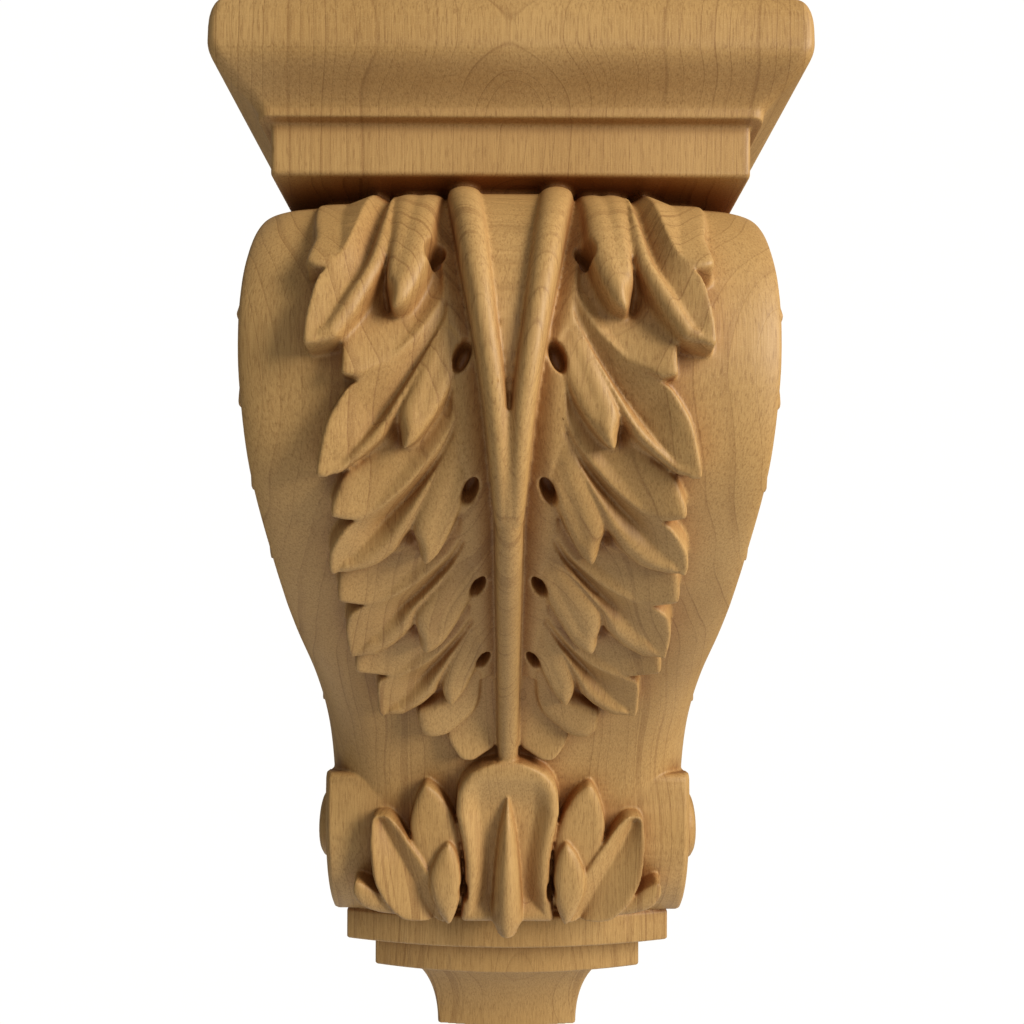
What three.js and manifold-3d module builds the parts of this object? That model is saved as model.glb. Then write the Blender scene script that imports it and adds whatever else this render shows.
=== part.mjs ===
// A carved wooden corbel: a moulded cap on a scrolled body with an acanthus leaf down its front,
// a husk over the lower scroll, a stepped base and a coved tail, all cut from one block.
// Millimetres, +Z up. The back stands on the wall at y = 0 and the front looks along -y.
import * as THREE from 'three';
import { mergeVertices } from 'three/addons/utils/BufferGeometryUtils.js';
import Module from 'manifold-3d';

const HEIGHT = 272;
const CROWN_WIDTH = 126;
const CROWN_OVERHANG = 10.5;
const CROWN_HEIGHT = 21.3;
const FASCIA_DEPTH = 125;
const FASCIA_HEIGHT = 11.3;
const BODY_WIDTH = 109.4;
const BODY_DEPTH = 141.5;
const SCROLL_WIDTH = 109;
const SCROLL_FRONT = 61.2;
const LEAF_RISE = 7;
const ROOT_SHARE = 0.34;
const SIDE_RISE = 1.2;
const UPPER_EYE = { depth: 100, z: 62, radius: 15, proud: 5 };
const LOWER_EYE = { depth: 38, z: -60, radius: 11.5, proud: 5.5 };
const STEP_ONE = { width: 101.8, front: 52.5, bow: 7, height: 9.6 };
const STEP_TWO = { width: 86.2, front: 44, bow: 6.2, height: 11.6 };
const TAIL = { width: 48.5, front: 20, height: 29 };

const TOP = HEIGHT / 2;
const BOTTOM = -HEIGHT / 2;
const LIP_BOTTOM = TOP - CROWN_HEIGHT;
const SOFFIT = LIP_BOTTOM - FASCIA_HEIGHT;
const FASCIA_HALF = CROWN_WIDTH / 2 - CROWN_OVERHANG;
const BODY_HALF = BODY_WIDTH / 2;
const TAIL_TOP = BOTTOM + TAIL.height;
const STEP_TWO_TOP = TAIL_TOP + STEP_TWO.height;
const STEP_ONE_TOP = STEP_TWO_TOP + STEP_ONE.height;
const SUNK = -8;

const wasm = await Module();
wasm.setup();

const ease = THREE.MathUtils.smoothstep;
const mix = THREE.MathUtils.lerp;

// Skin a row of closed rings, with the two ends closed by fans, into one solid.
function loft(rings) {
  const count = rings[0].length;
  const points = rings.flat();
  const faces = [];
  for (let r = 0; r + 1 < rings.length; r++) {
    for (let i = 0; i < count; i++) {
      const a = r * count + i;
      const b = r * count + (i + 1) % count;
      faces.push(a, b, b + count, a, b + count, a + count);
    }
  }
  const ends = [[rings[0], 0, true], [rings.at(-1), (rings.length - 1) * count, false]];
  for (const [ring, first, turned] of ends) {
    const hub = points.length;
    const centre = ring.reduce((sum, p) => sum.add(p), new THREE.Vector3()).divideScalar(count);
    points.push(centre);
    for (let i = 0; i < count; i++) {
      const a = first + i;
      const b = first + (i + 1) % count;
      faces.push(...(turned ? [hub, b, a] : [hub, a, b]));
    }
  }
  const signed = faces.reduce((sum, f, i) => (i % 3 ? sum
    : sum + points[f].dot(points[faces[i + 1]].clone().cross(points[faces[i + 2]]))), 0);
  return solid(points, signed < 0 ? faces.reverse() : faces);
}

// Turn points and triangles into a manifold that can be joined and cut.
function solid(points, faces) {
  const geometry = new THREE.BufferGeometry().setFromPoints(points);
  geometry.setIndex(faces);
  const merged = mergeVertices(geometry, 1e-4);
  return new wasm.Manifold(new wasm.Mesh({
    numProp: 3,
    vertProperties: new Float32Array(merged.attributes.position.array),
    triVerts: new Uint32Array(merged.index.array),
  }));
}

// A plan outline with its back on the wall, rounded front corners and a front that may bow forward.
function planRing(half, front, z, corner, bow = 0) {
  const shape = new THREE.Shape();
  const side = front - bow;
  shape.moveTo(half, 0);
  shape.lineTo(half, side - corner);
  shape.quadraticCurveTo(half, side, half - corner, side + bow * 0.1);
  shape.quadraticCurveTo(0, front + bow * 0.9, corner - half, side + bow * 0.1);
  shape.quadraticCurveTo(-half, side, -half, side - corner);
  shape.lineTo(-half, 0);
  return shape.getPoints(5).map((p) => new THREE.Vector3(p.x, -p.y, z));
}

// Cap: a bullnose over a cove, a thin lip, and the plain fascia block below it.
function cap() {
  const moulding = [
    [0, 0.74], [0.05, 0.87], [0.15, 0.95], [0.27, 0.99], [0.4, 1], [0.5, 1], [0.58, 0.95], [0.65, 0.84],
    [0.72, 0.67], [0.79, 0.48], [0.86, 0.33], [0.92, 0.25], [1, 0.23],
  ];
  const rings = moulding.map(([down, out]) => {
    const overhang = out * CROWN_OVERHANG;
    return planRing(FASCIA_HALF + overhang, FASCIA_DEPTH + overhang, TOP - down * CROWN_HEIGHT, 3);
  });
  rings.push(planRing(FASCIA_HALF, FASCIA_DEPTH, LIP_BOTTOM - 0.4, 1.5));
  rings.push(planRing(FASCIA_HALF, FASCIA_DEPTH, SOFFIT + 0.6, 1.5));
  rings.push(planRing(FASCIA_HALF - 0.6, FASCIA_DEPTH - 0.6, SOFFIT, 1.5));
  return loft(rings);
}

// A curved front surface: across is x, down is the length along the profile, out is above the surface.
class Front {
  constructor(start, points) {
    this.curve = new THREE.SplineCurve(points.map(([depth, z]) => new THREE.Vector2(-depth, z)));
    this.curve.arcLengthDivisions = 400;
    this.length = this.curve.getLength();
    this.start = start;
  }

  place(across, down, out) {
    const t = THREE.MathUtils.clamp((this.start + down) / this.length, 0, 1);
    const at = this.curve.getPointAt(t);
    const along = this.curve.getTangentAt(t);
    return new THREE.Vector3(across, at.x + along.y * out, at.y - along.x * out);
  }
}

// Body profile: the shoulder under the soffit, the belly, the long flank and the run into the scroll.
const body = new Front(12, [
  [97, SOFFIT + 1.4], [109, SOFFIT], [119.5, 99.2], [128, 92.8], [134.5, 85], [BODY_DEPTH - 2.3, 76],
  [BODY_DEPTH, 65], [BODY_DEPTH - 1.2, 52.5], [133, 36], [115.5, 18], [96, 1.5], [80, -13], [69, -28],
  [63, -42], [SCROLL_FRONT, -54],
]);

// Husk profile: upright in front of the lower scroll, from the flank down to the base.
const cup = new Front(0, [[66, -30], [63, -42], [61.5, -54], [61, -66], [59.5, -76], [57, -84]]);

// The leaf is thin where it leaves the soffit and grows to its full rise on the belly.
const fullness = (surface, down) => (surface === body ? mix(0.6, 1, ease(down, 4, 42)) : 1);

// Ground of the body: it leans back beside the leaf and turns over at its edges, more towards the neck.
function ground(share, down) {
  const neck = ease(down, 122, 192);
  const turn = Math.max(0, (share - mix(0.86, 0.6, neck)) / mix(0.14, 0.4, neck));
  const fall = 1 - Math.sqrt(1 - Math.min(1, turn) ** 2);
  const lean = Math.max(0, (share - 0.55) / 0.45) ** 2;
  return -mix(1.6, 18, neck) * fall - 1.5 * lean * (1 - ease(down, 120, 165));
}

function bodyCore() {
  const shares = [0, 0.5, 0.68, 0.78, 0.85, 0.91, 0.96, 0.985, 1];
  const across = [...shares.slice(1).reverse().map((s) => -s), ...shares];
  const rings = [];
  const steps = 26;
  for (let i = 0; i <= steps; i++) {
    const down = mix(-body.start, body.length - body.start, i / steps);
    const front = across.map((s) => body.place(s * BODY_HALF, down, ground(Math.abs(s), down)));
    const level = body.place(0, down, 0).z;
    rings.push([...front, new THREE.Vector3(BODY_HALF, 0, level), new THREE.Vector3(-BODY_HALF, 0, level)]);
  }
  return loft(rings);
}

// Lower scroll: a roll across the full width, with a flat top that stands clear at the corners.
function scrollRoll() {
  const half = SCROLL_WIDTH / 2;
  const outline = new THREE.Shape();
  outline.moveTo(0, -28);
  outline.lineTo(30, -42);
  outline.lineTo(SCROLL_FRONT - 2.5, -39.7);
  outline.quadraticCurveTo(SCROLL_FRONT, -39.7, SCROLL_FRONT, -43);
  outline.bezierCurveTo(62.5, -56, 62, -74, 47, STEP_ONE_TOP + 0.8);
  outline.lineTo(0, STEP_ONE_TOP - 1);
  const ring = outline.getPoints(6);
  return loft([[-half, 0.97], [1.5 - half, 1], [half - 1.5, 1], [half, 0.97]].map(([x, grow]) => ring.map(
    (p) => new THREE.Vector3(x, -p.x * (p.x > 30 ? grow : 1), p.y))));
}

// Two bowed steps and the tail, whose cove narrows to a small flat end.
function base() {
  const [one, two] = [STEP_ONE, STEP_TWO];
  const steps = [
    [planRing(one.width / 2, one.front, STEP_ONE_TOP, 1, one.bow),
      planRing(one.width / 2, one.front, STEP_TWO_TOP, 1, one.bow)],
    [planRing(two.width / 2, two.front, STEP_TWO_TOP + 1, 1, two.bow),
      planRing(two.width / 2, two.front, TAIL_TOP, 1, two.bow)],
  ].map(loft);
  const cove = [planRing(two.width / 2 - 2, two.front - 3, TAIL_TOP + 2, 1, two.bow)];
  const turns = 8;
  for (let i = 0; i <= turns; i++) {
    const angle = (i / turns) * Math.PI / 2;
    const narrow = Math.sin(angle);
    const half = mix(two.width / 2 - 2, TAIL.width / 2, narrow);
    const front = mix(two.front - 3, TAIL.front, narrow);
    cove.push(planRing(half, front, mix(BOTTOM, TAIL_TOP, Math.cos(angle)), 1, mix(two.bow, 2, narrow)));
  }
  return [...steps, loft(cove)];
}

// Heights across a lobe, as [share from its outer to its inner edge, share of its rise].
const ARCHED = [[0, 0.72], [0.3, 1], [0.7, 1], [1, 0.72]];
const VEINED = [[0, 0.72], [0.25, 1], [0.5, 0.92], [0.7, 0.7], [1, 0.8]];
const LEVEL = [[0, 1], [0.5, 1], [1, 1]];

// One lobe between an outer and an inner edge line of [across, down] points that run from its root to
// its tip. It rises towards the tip and ends in a steep wall all round.
function lobeRings(surface, { outer, inner, low, high, section = ARCHED }) {
  const edge = (line) => new THREE.SplineCurve(line.map(([across, down]) => new THREE.Vector2(across, down)));
  const [near, far] = [edge(outer), edge(inner)];
  const stations = [0, 0.3, 0.55, 0.75, 0.9, 1];
  return stations.map((t) => {
    const [from, to] = [near.getPointAt(t), far.getPointAt(t)];
    const rise = mix(low, high, t ** 1.3);
    const spot = (share, out) => {
      const at = from.clone().lerp(to, share);
      return surface.place(at.x, at.y, out > 0 ? out * fullness(surface, at.y) : out);
    };
    return [...section.map(([share, level]) => spot(share, rise * level)), spot(1, SUNK), spot(0, SUNK)];
  });
}

const mirror = (rings) => rings.map((ring) => ring.map((p) => p.clone().setX(-p.x)));

function pair(rings) {
  return [loft(rings), loft(mirror(rings))];
}

// Leaflets down each side of the stem, on the body's front. Each has an upper lobe, a broad main lobe with
// a vein, and an inner lobe that ends at the eye beside the stem.
const LEAFLETS = [
  {
    eye: [14.8, 39.8],
    upper: {
      outer: [[43, -8], [42.5, 15], [40, 33], [39.6, 41], [40, 44.8]],
      inner: [[30, -8], [29, 20], [30.5, 40.5], [33.5, 43], [37, 44.6]],
    },
    main: {
      outer: [[36, -8], [37, 30], [36.8, 46.5], [39.2, 54.5], [39.7, 59.8]],
      inner: [[24, -8], [22.5, 20], [24.3, 44.5], [29.2, 54], [32.6, 58.6]],
    },
    inner: {
      outer: [[26, -8], [25, 20], [23.9, 42.5], [24.1, 47.6], [22.6, 53.4]],
      inner: [[15, -8], [14.8, 20], [15.9, 44.4], [17.4, 48.6], [20.6, 52.8]],
    },
  },
  {
    eye: [9.3, 60.3],
    upper: {
      outer: [[20, 36], [27, 44], [33, 55], [32.5, 61.5], [32.8, 64.2]],
      inner: [[14, 38], [14, 50], [19.5, 57.6], [24.5, 61.8], [28.5, 63.6]],
    },
    main: {
      outer: [[18, 50], [28, 63], [34, 68.9], [37.2, 75.5], [39.2, 82]],
      inner: [[12, 46], [15, 57.8], [21.2, 69.5], [25.2, 75.7], [33.7, 81.8]],
    },
    inner: {
      outer: [[12.5, 54], [18.5, 64.5], [21.3, 69.6], [22, 73.4], [20.9, 77.5]],
      inner: [[9.6, 57], [10, 62], [12.9, 68.9], [14.9, 72], [18.6, 76.2]],
    },
  },
  {
    eye: [8.1, 86.5],
    upper: {
      outer: [[15, 66], [22, 75], [33.7, 82], [37, 88.3], [37.2, 90.4]],
      inner: [[11, 62], [13, 73], [22, 83], [28.6, 89.1], [33.5, 91.1]],
    },
    main: {
      outer: [[16, 75], [29, 89], [37.1, 96.1], [39.5, 102.5], [39.3, 105.2]],
      inner: [[10, 70], [13.2, 79], [20.6, 95], [24.4, 100.4], [31, 104.6]],
    },
    inner: {
      outer: [[11, 75.5], [17.4, 86.7], [20.6, 95.2], [20.1, 99.3], [18.6, 103.8]],
      inner: [[8.6, 80], [9.7, 89.2], [12, 95], [14.9, 100.6], [16.6, 102.4]],
    },
  },
  {
    eye: [7.1, 113.5],
    upper: {
      outer: [[14, 94], [20, 101], [37.5, 105.5], [39.4, 112.5], [39.3, 114.6]],
      inner: [[10, 90], [12, 98], [27, 113], [32, 116.4], [35.3, 116.1]],
    },
    main: {
      outer: [[15, 101], [28, 113], [38, 119.8], [39.5, 131], [39.2, 135]],
      inner: [[9, 96], [12.5, 107.5], [21.8, 121], [24.7, 128.4], [31, 134]],
    },
    inner: {
      outer: [[9.6, 101.8], [17, 114], [22.2, 120.8], [22.4, 130.4], [21.2, 134.5]],
      inner: [[7.6, 106], [9, 117.5], [11.6, 123.4], [15.3, 130.4], [18.4, 133.2]],
    },
  },
  {
    eye: [6.5, 141.8],
    upper: {
      outer: [[13, 121], [20, 129], [38, 135], [39.4, 141], [38.9, 142.4]],
      inner: [[9, 117], [11, 125], [25, 141], [30.5, 144.6], [35.2, 143.7]],
    },
    main: {
      outer: [[13, 127], [27, 141.5], [34.5, 146.2], [35.3, 158.5], [34.3, 160.7]],
      inner: [[8, 122], [11.5, 133.5], [17.8, 149], [23, 157.6], [28.2, 161]],
    },
    inner: {
      outer: [[8.4, 127], [15, 141.4], [17.8, 149.6], [17.5, 154.3], [15.7, 158]],
      inner: [[6.8, 133], [8.4, 144.2], [11, 151.4], [13.4, 155.4]],
    },
  },
  {
    upper: {
      outer: [[11, 149], [16, 156], [25, 160.6], [24.6, 168.5], [22.6, 170.8]],
      inner: [[7, 145], [8, 162], [16, 170], [19.3, 171.1]],
    },
    inner: {
      outer: [[9, 152], [14, 160], [17.5, 171], [14.5, 178.5], [13, 180]],
      inner: [[3, 150], [3, 165], [3, 176], [6, 178], [10, 180.5]],
    },
  },
];

function leafLobes() {
  return LEAFLETS.flatMap(({ upper, main, inner }, i) => {
    const high = LEAF_RISE * (1 - 0.04 * i);
    const low = ROOT_SHARE * high;
    const lobes = [{ ...upper, low, high }, { ...inner, low, high }];
    if (main) {
      lobes.push({ ...main, low, high, section: VEINED });
    }
    return lobes.flatMap((lobe) => pair(lobeRings(body, lobe)));
  });
}

// The low ground of the leaf beside the stem, and the sunk panel between the two ribs.
function leafGround() {
  const level = 0.36 * LEAF_RISE;
  const panel = 0.6 * LEAF_RISE;
  const edge = [[7.5, -8], [4.4, 42], [2.9, 50], [0.4, 67]];
  const sheets = pair(lobeRings(body, {
    outer: [[38, -8], [33, 40], [27, 60], [30, 86], [32, 113], [28, 142], [14, 168]],
    inner: [[15, -8], [14.8, 40], [9.4, 60], [8.2, 86], [7.2, 113], [6.6, 142], [4, 168]],
    low: level,
    high: level,
    section: LEVEL,
  }));
  const middle = lobeRings(body, {
    outer: edge,
    inner: edge.map(([across, down]) => [-across, down]),
    low: panel,
    high: panel,
    section: LEVEL,
  });
  return [...sheets, loft(middle)];
}

// A raised rib along a row of [across, down, half width, rise] stations on a front surface.
function ribRings(surface, stations) {
  return stations.map(([across, down, half, rise]) => [
    [-1, SUNK], [-1, 0.6 * rise], [-0.5, rise], [0.5, rise], [1, 0.6 * rise], [1, SUNK],
  ].map(([q, out]) => surface.place(across + q * half, down, out > 0 ? out * fullness(surface, down) : out)));
}

// Two ribs that close to a V, and the single stem that carries on to the husk.
function stem() {
  const ribs = pair(ribRings(body, [
    [10.8, -8, 3.9, 6.4], [9.8, 18, 3.7, 6.6], [7.2, 40, 3.2, 6.8], [4.9, 55, 2.7, 6.8], [2.6, 70, 2.5, 6.6],
    [1.2, 92, 2, 6.2],
  ]));
  const shaft = loft(ribRings(body, [
    [0, 70, 2, 5.4], [0, 92, 3, 6.3], [0, 130, 3, 6], [0, 172, 3, 5.5], [0, 186, 2.8, 5.5],
  ]));
  return [...ribs, shaft];
}

// Eyes: small drilled ovals at the inner end of each group.
function eyes() {
  const turns = 8;
  return LEAFLETS.filter(({ eye }) => eye).flatMap(({ eye }) => pair([-2, 9].map((out) => {
    const ring = [];
    for (let i = 0; i < turns; i++) {
      const angle = (i / turns) * Math.PI * 2;
      const across = eye[0] + 1.5 * Math.cos(angle) - 0.5 * Math.sin(angle);
      ring.push(body.place(across, eye[1] + 2.8 * Math.sin(angle), out));
    }
    return ring;
  })));
}

// Husk over the lower scroll: a middle lobe with a rib, and pairs of pointed lobes with their feet over
// the base.
function husk() {
  const pairs = [
    {
      outer: [[28, 48], [28.4, 29.2], [28.9, 22.9], [26.9, 15.3], [24.6, 9.8]],
      inner: [[14, 48], [13.6, 26.7], [15.8, 19.8], [19.6, 13.4], [23.4, 9.8]],
      low: 4.5,
      high: 6,
    },
    {
      outer: [[30, 52.5], [36.9, 50.5], [42.7, 47], [45.2, 42.1], [44.4, 38.6]],
      inner: [[27, 50], [36.2, 45], [40.1, 41.3], [43.2, 38.6]],
      low: 4,
      high: 5.4,
    },
    {
      outer: [[30.5, 52], [35.1, 46.4], [38.4, 39.8], [40.3, 29.8], [39.3, 20.2]],
      inner: [[17, 52.5], [18, 43], [22.3, 36.4], [28.4, 30.9], [33.5, 19.6]],
      low: 6.2,
      high: 7,
      section: VEINED,
    },
    {
      outer: [[17.5, 53], [22.1, 42.7], [21.8, 36.4], [19.7, 30.9], [17, 27.6]],
      inner: [[14, 53], [12.7, 45], [12.3, 37], [13.9, 30.9], [16.2, 27.6]],
      low: 7.5,
      high: 8,
    },
  ].flatMap((lobe) => pair(lobeRings(cup, lobe)));
  const edge = [[12.5, 51], [12.4, 40], [13.6, 27], [15.2, 19], [13.4, 9], [8, 4], [1, 2.2]];
  const middle = lobeRings(cup, {
    outer: edge,
    inner: edge.map(([across, down]) => [-across, down]),
    low: 5.4,
    high: 8,
    section: [[0, 0.8], [0.12, 1], [0.4, 0.8], [0.6, 0.8], [0.88, 1], [1, 0.8]],
  });
  const rib = ribRings(cup, [[0, 53, 4.4, 9.4], [0, 40, 4, 9.6], [0, 26, 2.7, 9.4], [0, 15, 0.6, 7.6]]);
  return [...pairs, loft(middle), loft(rib)];
}

// Carving on each side: low lobes along the front edge and a round boss at the heart of each scroll.
function sides() {
  const parts = [];
  const lobes = 7;
  const outline = [[-1, -3], [-1, 0.2], [0, SIDE_RISE], [1, 0.2], [1, -3]];
  for (let i = 0; i < lobes; i++) {
    const down = mix(36, 160, i / (lobes - 1));
    const inset = mix(5, 15, ease(down, 100, 165));
    const [heel, middle, tip] = [[-14, 22], [2, 12], [13, 0]].map(([ahead, deep]) => body.place(
      0, down + ahead, -inset - deep));
    const along = tip.clone().sub(heel).normalize();
    const across = new THREE.Vector3(0, -along.z, along.y);
    parts.push(...pair([[heel, 5], [middle, 8.5], [tip, 1]].map(([at, half]) => outline.map(([q, out]) => at
      .clone().addScaledVector(across, q * half).setX(BODY_HALF + out)))));
  }
  parts.push(...pair(bossRings(UPPER_EYE, BODY_HALF)));
  parts.push(...pair(bossRings(LOWER_EYE, SCROLL_WIDTH / 2)));
  return parts;
}

function bossRings({ depth, z, radius, proud }, face) {
  const turns = 12;
  return [[1, -3], [1, 0.5 * proud], [0.8, 0.85 * proud], [0.4, proud]].map(([share, out]) => {
    const ring = [];
    for (let i = 0; i < turns; i++) {
      const angle = (i / turns) * Math.PI * 2;
      const reach = share * radius;
      ring.push(new THREE.Vector3(face + out, reach * Math.cos(angle) - depth, z + reach * Math.sin(angle)));
    }
    return ring;
  });
}

function corbel() {
  const pieces = [
    cap(), bodyCore(), scrollRoll(), ...base(), ...leafGround(), ...leafLobes(), ...stem(), ...husk(),
    ...sides(),
  ];
  let whole = pieces[0];
  for (const piece of pieces.slice(1)) {
    whole = whole.add(piece);
  }
  for (const cut of eyes()) {
    whole = whole.subtract(cut);
  }
  const { vertProperties, triVerts } = whole.getMesh();
  const geometry = new THREE.BufferGeometry();
  geometry.setAttribute('position', new THREE.BufferAttribute(vertProperties, 3));
  geometry.setIndex(new THREE.BufferAttribute(triVerts, 1));
  const wood = new THREE.MeshStandardMaterial({ color: 0xb18a56, roughness: 0.55, metalness: 0 });
  const mesh = new THREE.Mesh(geometry, wood);
  mesh.name = 'corbel';
  return mesh;
}

const part = new THREE.Group();
part.add(corbel());
export default part;
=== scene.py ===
import math

import bmesh
import bpy
import numpy as np
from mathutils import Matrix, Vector


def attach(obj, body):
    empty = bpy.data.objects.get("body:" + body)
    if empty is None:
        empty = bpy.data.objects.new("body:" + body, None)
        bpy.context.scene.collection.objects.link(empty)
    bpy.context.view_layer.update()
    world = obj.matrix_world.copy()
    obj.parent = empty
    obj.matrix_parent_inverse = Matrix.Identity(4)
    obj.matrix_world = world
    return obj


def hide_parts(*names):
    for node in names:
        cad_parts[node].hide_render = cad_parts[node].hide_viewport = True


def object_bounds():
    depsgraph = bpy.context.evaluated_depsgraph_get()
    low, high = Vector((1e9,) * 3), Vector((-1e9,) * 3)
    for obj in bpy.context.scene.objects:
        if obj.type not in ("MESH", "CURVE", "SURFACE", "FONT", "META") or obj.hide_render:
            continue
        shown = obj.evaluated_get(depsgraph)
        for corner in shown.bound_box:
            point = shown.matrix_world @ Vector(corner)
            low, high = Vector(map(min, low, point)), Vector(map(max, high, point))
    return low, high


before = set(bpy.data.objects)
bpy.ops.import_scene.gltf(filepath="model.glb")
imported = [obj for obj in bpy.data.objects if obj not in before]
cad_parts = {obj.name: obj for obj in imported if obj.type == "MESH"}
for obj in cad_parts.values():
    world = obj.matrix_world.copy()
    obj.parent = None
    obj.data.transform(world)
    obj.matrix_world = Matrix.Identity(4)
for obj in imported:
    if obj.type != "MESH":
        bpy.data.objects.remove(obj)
cad_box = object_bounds()

# Viewpoint: the corbel is looked at straight on from close by, with the eye a little above its
# middle. The lens stays level and is shifted, so uprights stay upright.
PICTURE = 1024
FOCAL_PIXELS = 800
EYE_PIXEL = (508.5, 612)
ROLL = -0.0046
EYE = Vector((0, -0.2991, 0.0084))

camera = bpy.data.objects.new("camera", bpy.data.cameras.new("camera"))
bpy.context.collection.objects.link(camera)
bpy.context.scene.camera = camera
camera.location = EYE
camera.rotation_euler = (math.pi / 2, ROLL, 0)
camera.data.sensor_width = 36
camera.data.lens = camera.data.sensor_width * FOCAL_PIXELS / PICTURE
camera.data.shift_x = (PICTURE / 2 - EYE_PIXEL[0]) / PICTURE
camera.data.shift_y = (EYE_PIXEL[1] - PICTURE / 2) / PICTURE
camera.data.clip_start = 0.01

# Cap: the top of the block, machined before carving. A bullnose runs over a cove to a thin lip, and
# the plain fascia stands below it. Its top carries the shelf, its back lies on the wall.
MM = 0.001
BOTTOM, TOP = [corner[2] / MM for corner in cad_box]
CROWN_HALF = 63
CROWN_OVERHANG = 10.5
CROWN_HEIGHT = 21.3
FASCIA_DEPTH = 125
FASCIA_HEIGHT = 11.3
FASCIA_HALF = CROWN_HALF - CROWN_OVERHANG
LIP_BOTTOM = TOP - CROWN_HEIGHT
SOFFIT = LIP_BOTTOM - FASCIA_HEIGHT
CROWN_CORNER = 3
FASCIA_CORNER = 1.4
LIP_STEP = 0.3
ARRIS = 0.5
SPAN_POINTS = 40
CORNER_POINTS = 9
FRONT_POINTS = 42
forms = []


def mix(a, b, share):
    return a + (b - a) * share


def ease(value, start, end):
    share = np.clip((value - start) / (end - start), 0, 1)
    return share * share * (3 - 2 * share)


def curve_through(points, steps):
    """Points evenly spaced along a smooth line through the given ones."""
    knots = np.array(points, float)
    padded = np.vstack([2 * knots[0] - knots[1], knots, 2 * knots[-1] - knots[-2]])
    share = np.linspace(0, 1, SPAN_POINTS, endpoint=False)[:, None]
    spans = []
    for a, b, c, d in zip(padded, padded[1:], padded[2:], padded[3:]):
        square = 2 * a - 5 * b + 4 * c - d
        cube = 3 * (b - c) + d - a
        spans.append(b + 0.5 * share * (c - a + share * (square + share * cube)))
    line = np.vstack([*spans, knots[-1:]])
    length = np.concatenate([[0], np.cumsum(np.linalg.norm(np.diff(line, axis=0), axis=1))])
    spots = np.linspace(0, length[-1], steps)
    return np.column_stack([np.interp(spots, length, column) for column in line.T])


def skin(rings):
    """Add the closed form that runs through a row of rings, each end closed by a fan."""
    rings = np.asarray(rings, float)
    rows, count = rings.shape[:2]
    points = np.vstack([rings.reshape(-1, 3), rings[0].mean(0), rings[-1].mean(0)])
    faces = []
    for row in range(rows - 1):
        here = row * count + np.arange(count)
        after = np.roll(here, -1)
        faces.extend(np.column_stack([here, after, after + count, here + count]).tolist())
    first = np.arange(count)
    last = first + (rows - 1) * count
    faces.extend(np.column_stack([np.roll(first, -1), first, np.full(count, rows * count)]).tolist())
    faces.extend(np.column_stack([last, np.roll(last, -1), np.full(count, rows * count + 1)]).tolist())
    forms.append((points, faces))


def plan_ring(half, front, z, corner, bow=0):
    """A plan outline: back on the wall, rounded front corners, and a front that may bow forward."""
    turn = np.linspace(0, math.pi / 2, CORNER_POINTS)
    side = front - bow
    right = np.column_stack([half - corner + corner * np.cos(turn), side - corner + corner * np.sin(turn)])
    across = np.linspace(half - corner, corner - half, FRONT_POINTS)[1:-1]
    middle = np.column_stack([across, side + bow * (1 - (across / (half - corner)) ** 2)])
    left = right[::-1] * (-1, 1)
    outline = np.vstack([[half, 0], right, middle, left, [-half, 0]])
    return np.column_stack([outline[:, 0], -outline[:, 1], np.full(len(outline), z)])


crown_profile = curve_through([
    (0, 0.74), (0.05, 0.87), (0.15, 0.95), (0.27, 0.99), (0.4, 1), (0.5, 1), (0.58, 0.95), (0.65, 0.84),
    (0.72, 0.67), (0.79, 0.48), (0.86, 0.33), (0.92, 0.25), (1, 0.23),
], 48)
cap_rings = []
for down, out in crown_profile:
    overhang = out * CROWN_OVERHANG
    cap_rings.append(plan_ring(
        FASCIA_HALF + overhang, FASCIA_DEPTH + overhang, TOP - down * CROWN_HEIGHT, CROWN_CORNER))
cap_rings.append(plan_ring(FASCIA_HALF, FASCIA_DEPTH, LIP_BOTTOM - LIP_STEP, FASCIA_CORNER))
cap_rings.append(plan_ring(FASCIA_HALF, FASCIA_DEPTH, SOFFIT + ARRIS, FASCIA_CORNER))
cap_rings.append(plan_ring(FASCIA_HALF - ARRIS, FASCIA_DEPTH - ARRIS, SOFFIT, FASCIA_CORNER))
skin(cap_rings)

# Body: the scrolled block below the soffit. Its front swells to a belly and runs down a long flank
# into the lower scroll; it leans back a little beside the leaf and its edges are rounded over.
BODY_HALF = 54.7
BODY_DEPTH = 141.5
SCROLL_FRONT = 61.2
NECK_START, NECK_END = 122, 192
BODY_ROLL, NECK_ROLL = 1.6, 18
LEAN_BACK = 1.5
PROFILE_POINTS = 1200


class Front:
    """A curved front: across is x, down the length along its profile, out the height above it."""

    def __init__(self, start, profile):
        self.start = start
        line = curve_through([(-depth, z) for depth, z in profile], PROFILE_POINTS)
        step = np.gradient(line, axis=0)
        step /= np.linalg.norm(step, axis=1, keepdims=True)
        self.length = np.linalg.norm(np.diff(line, axis=0), axis=1).sum()
        self.rows = np.linspace(-start, self.length - start, len(line))
        self.line, self.out = line, np.column_stack([step[:, 1], -step[:, 0]])

    def place(self, across, down, out):
        y, z, out_y, out_z = [
            np.interp(down, self.rows, column) for column in (*self.line.T, *self.out.T)]
        return np.stack(np.broadcast_arrays(across, y + out_y * out, z + out_z * out), axis=-1)


body = Front(12, [
    (97, SOFFIT + 1.4), (109, SOFFIT), (119.5, 99.2), (128, 92.8), (134.5, 85), (BODY_DEPTH - 2.3, 76),
    (BODY_DEPTH, 65), (BODY_DEPTH - 1.2, 52.5), (133, 36), (115.5, 18), (96, 1.5), (80, -13), (69, -28),
    (63, -42), (SCROLL_FRONT, -54),
])


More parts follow.
